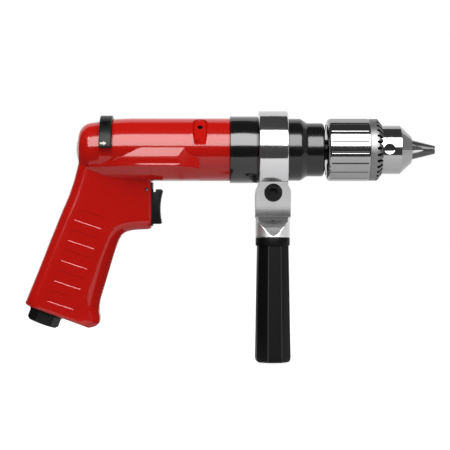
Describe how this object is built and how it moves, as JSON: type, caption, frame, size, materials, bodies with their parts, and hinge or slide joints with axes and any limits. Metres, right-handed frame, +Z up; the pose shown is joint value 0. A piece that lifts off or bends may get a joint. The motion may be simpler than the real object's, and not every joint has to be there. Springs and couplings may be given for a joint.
{
  "type": "air drill",
  "caption": "Pistol-grip reversible air drill with a keyed chuck, a finger trigger, a reverse lever and a clamped side handle.",
  "frame": {"origin": "centre of the chuck's front face, on the spindle axis", "axes": "+X forward along the drill bit, +Z up away from the grip, +Y to the side away from the lock screw pocket"},
  "size_m": [0.3012, 0.0572, 0.1852],
  "materials": {
    "red_paint": "gloss",
    "black_coat": "satin",
    "black_plastic": "satin",
    "rubber": "matte",
    "bright_alloy": "polished",
    "chuck_steel": "polished",
    "steel": "ground",
    "dark_steel": "black oxide",
    "brass": "turned",
    "vane_laminate": "matte"
  },
  "bodies": {
    "drill": {"housing": "red_paint", "housing_lock_screw": "dark_steel", "trigger_plate": "black_plastic", "trigger_pin": "steel", "stem_bush": "brass", "stem_seal_ring": "rubber", "valve_seat": "brass", "throttle_spring": "steel", "inlet_bushing": "black_coat", "inlet_washer": "black_plastic", "inlet_screen": "steel", "exhaust_muffler": "rubber", "rear_end_plate": "steel", "rear_rotor_bearing": "steel", "motor_cylinder": "steel", "front_end_plate": "steel", "front_rotor_bearing": "steel", "gear_case": "black_coat", "ring_gear": "dark_steel", "front_spindle_bearing": "steel", "bearing_spacer": "steel", "rear_spindle_bearing": "steel", "spindle_seal": "rubber"},
    "trigger_unit": {"trigger": "black_plastic", "trigger_stem": "steel"},
    "valve_unit": {"throttle_valve": "brass"},
    "reverse_unit": {"reverse_lever": "black_plastic", "lever_screws": "dark_steel", "reverse_valve": "steel"},
    "rotor_unit": {"rotor": "steel", "rotor_vanes": "vane_laminate"},
    "carrier_unit": {"input_carrier": "steel", "input_planet_pins": "dark_steel"},
    "input_gear_a": {"input_planet_a": "steel"},
    "input_gear_b": {"input_planet_b": "steel"},
    "input_gear_c": {"input_planet_c": "steel"},
    "spindle_unit": {"spindle": "steel", "output_planet_pins": "dark_steel", "spindle_clip": "dark_steel", "chuck_body": "chuck_steel", "chuck_screw": "dark_steel"},
    "output_gear_a": {"output_planet_a": "steel"},
    "output_gear_b": {"output_planet_b": "steel"},
    "output_gear_c": {"output_planet_c": "steel"},
    "sleeve_unit": {"chuck_sleeve": "chuck_steel", "chuck_nut": "dark_steel"},
    "jaw_a": {"chuck_jaw_a": "chuck_steel"},
    "jaw_b": {"chuck_jaw_b": "chuck_steel"},
    "jaw_c": {"chuck_jaw_c": "chuck_steel"},
    "side_handle": {"handle_clamp": "bright_alloy", "clamp_screw": "dark_steel", "handle_stud": "steel", "side_grip": "black_plastic"}
  },
  "joints": [
    {"name": "trigger_press", "type": "slide", "parent": "drill", "child": "trigger_unit", "axis": [-1, 0, 0], "range_m": [0, 0.005], "stiffness_N_per_m": 1500, "springref_m": -0.002},
    {"name": "valve_lift", "type": "slide", "parent": "drill", "child": "valve_unit", "axis": [-1, 0, 0], "range_m": [0, 0.005], "deforming": ["throttle_spring"]},
    {"name": "reverse_turn", "type": "hinge", "parent": "drill", "child": "reverse_unit", "pos_m": [-0.2243, 0, 0], "axis": [1, 0, 0], "range_deg": [-30, 0]},
    {"name": "spindle_spin", "type": "hinge", "parent": "drill", "child": "spindle_unit", "pos_m": [-0.09, 0, 0], "axis": [1, 0, 0], "continuous": true},
    {"name": "carrier_spin", "type": "hinge", "parent": "drill", "child": "carrier_unit", "pos_m": [-0.1066, 0, 0], "axis": [1, 0, 0], "continuous": true},
    {"name": "rotor_spin", "type": "hinge", "parent": "drill", "child": "rotor_unit", "pos_m": [-0.158, 0, 0], "axis": [1, 0, 0], "continuous": true},
    {"name": "input_gear_a_spin", "type": "hinge", "parent": "carrier_unit", "child": "input_gear_a", "pos_m": [-0.1127, 0, 0.0108], "axis": [1, 0, 0], "continuous": true},
    {"name": "input_gear_b_spin", "type": "hinge", "parent": "carrier_unit", "child": "input_gear_b", "pos_m": [-0.1127, -0.00935, -0.0054], "axis": [1, 0, 0], "continuous": true},
    {"name": "input_gear_c_spin", "type": "hinge", "parent": "carrier_unit", "child": "input_gear_c", "pos_m": [-0.1127, 0.00935, -0.0054], "axis": [1, 0, 0], "continuous": true},
    {"name": "output_gear_a_spin", "type": "hinge", "parent": "spindle_unit", "child": "output_gear_a", "pos_m": [-0.1006, 0, 0.0108], "axis": [1, 0, 0], "continuous": true},
    {"name": "output_gear_b_spin", "type": "hinge", "parent": "spindle_unit", "child": "output_gear_b", "pos_m": [-0.1006, -0.00935, -0.0054], "axis": [1, 0, 0], "continuous": true},
    {"name": "output_gear_c_spin", "type": "hinge", "parent": "spindle_unit", "child": "output_gear_c", "pos_m": [-0.1006, 0.00935, -0.0054], "axis": [1, 0, 0], "continuous": true},
    {"name": "sleeve_turn", "type": "hinge", "parent": "spindle_unit", "child": "sleeve_unit", "pos_m": [-0.0415, 0, 0], "axis": [1, 0, 0], "range_deg": [0, 4500]},
    {"name": "jaw_a_slide", "type": "slide", "parent": "spindle_unit", "child": "jaw_a", "axis": [-0.9781, -0.104, 0.1801], "range_m": [0, 0.03127]},
    {"name": "jaw_b_slide", "type": "slide", "parent": "spindle_unit", "child": "jaw_b", "axis": [-0.9781, -0.104, -0.1801], "range_m": [0, 0.03127]},
    {"name": "jaw_c_slide", "type": "slide", "parent": "spindle_unit", "child": "jaw_c", "axis": [-0.9781, 0.2079, 0], "range_m": [0, 0.03127]},
    {"name": "side_handle_swing", "type": "hinge", "parent": "drill", "child": "side_handle", "pos_m": [-0.1021, 0, 0], "axis": [1, 0, 0], "continuous": true}
  ],
  "couplings": [
    {"joint": "valve_lift", "follows": "trigger_press", "ratio": 1},
    {"joint": "carrier_spin", "follows": "spindle_spin", "ratio": 4.5},
    {"joint": "rotor_spin", "follows": "spindle_spin", "ratio": 20.25},
    {"joint": "output_gear_a_spin", "follows": "spindle_spin", "ratio": -2.8},
    {"joint": "output_gear_b_spin", "follows": "spindle_spin", "ratio": -2.8},
    {"joint": "output_gear_c_spin", "follows": "spindle_spin", "ratio": -2.8},
    {"joint": "input_gear_a_spin", "follows": "spindle_spin", "ratio": -12.6},
    {"joint": "input_gear_b_spin", "follows": "spindle_spin", "ratio": -12.6},
    {"joint": "input_gear_c_spin", "follows": "spindle_spin", "ratio": -12.6},
    {"joint": "jaw_a_slide", "follows": "sleeve_turn", "m_per_rad": 0.00039806},
    {"joint": "jaw_b_slide", "follows": "sleeve_turn", "m_per_rad": 0.00039806},
    {"joint": "jaw_c_slide", "follows": "sleeve_turn", "m_per_rad": 0.00039806}
  ]
}
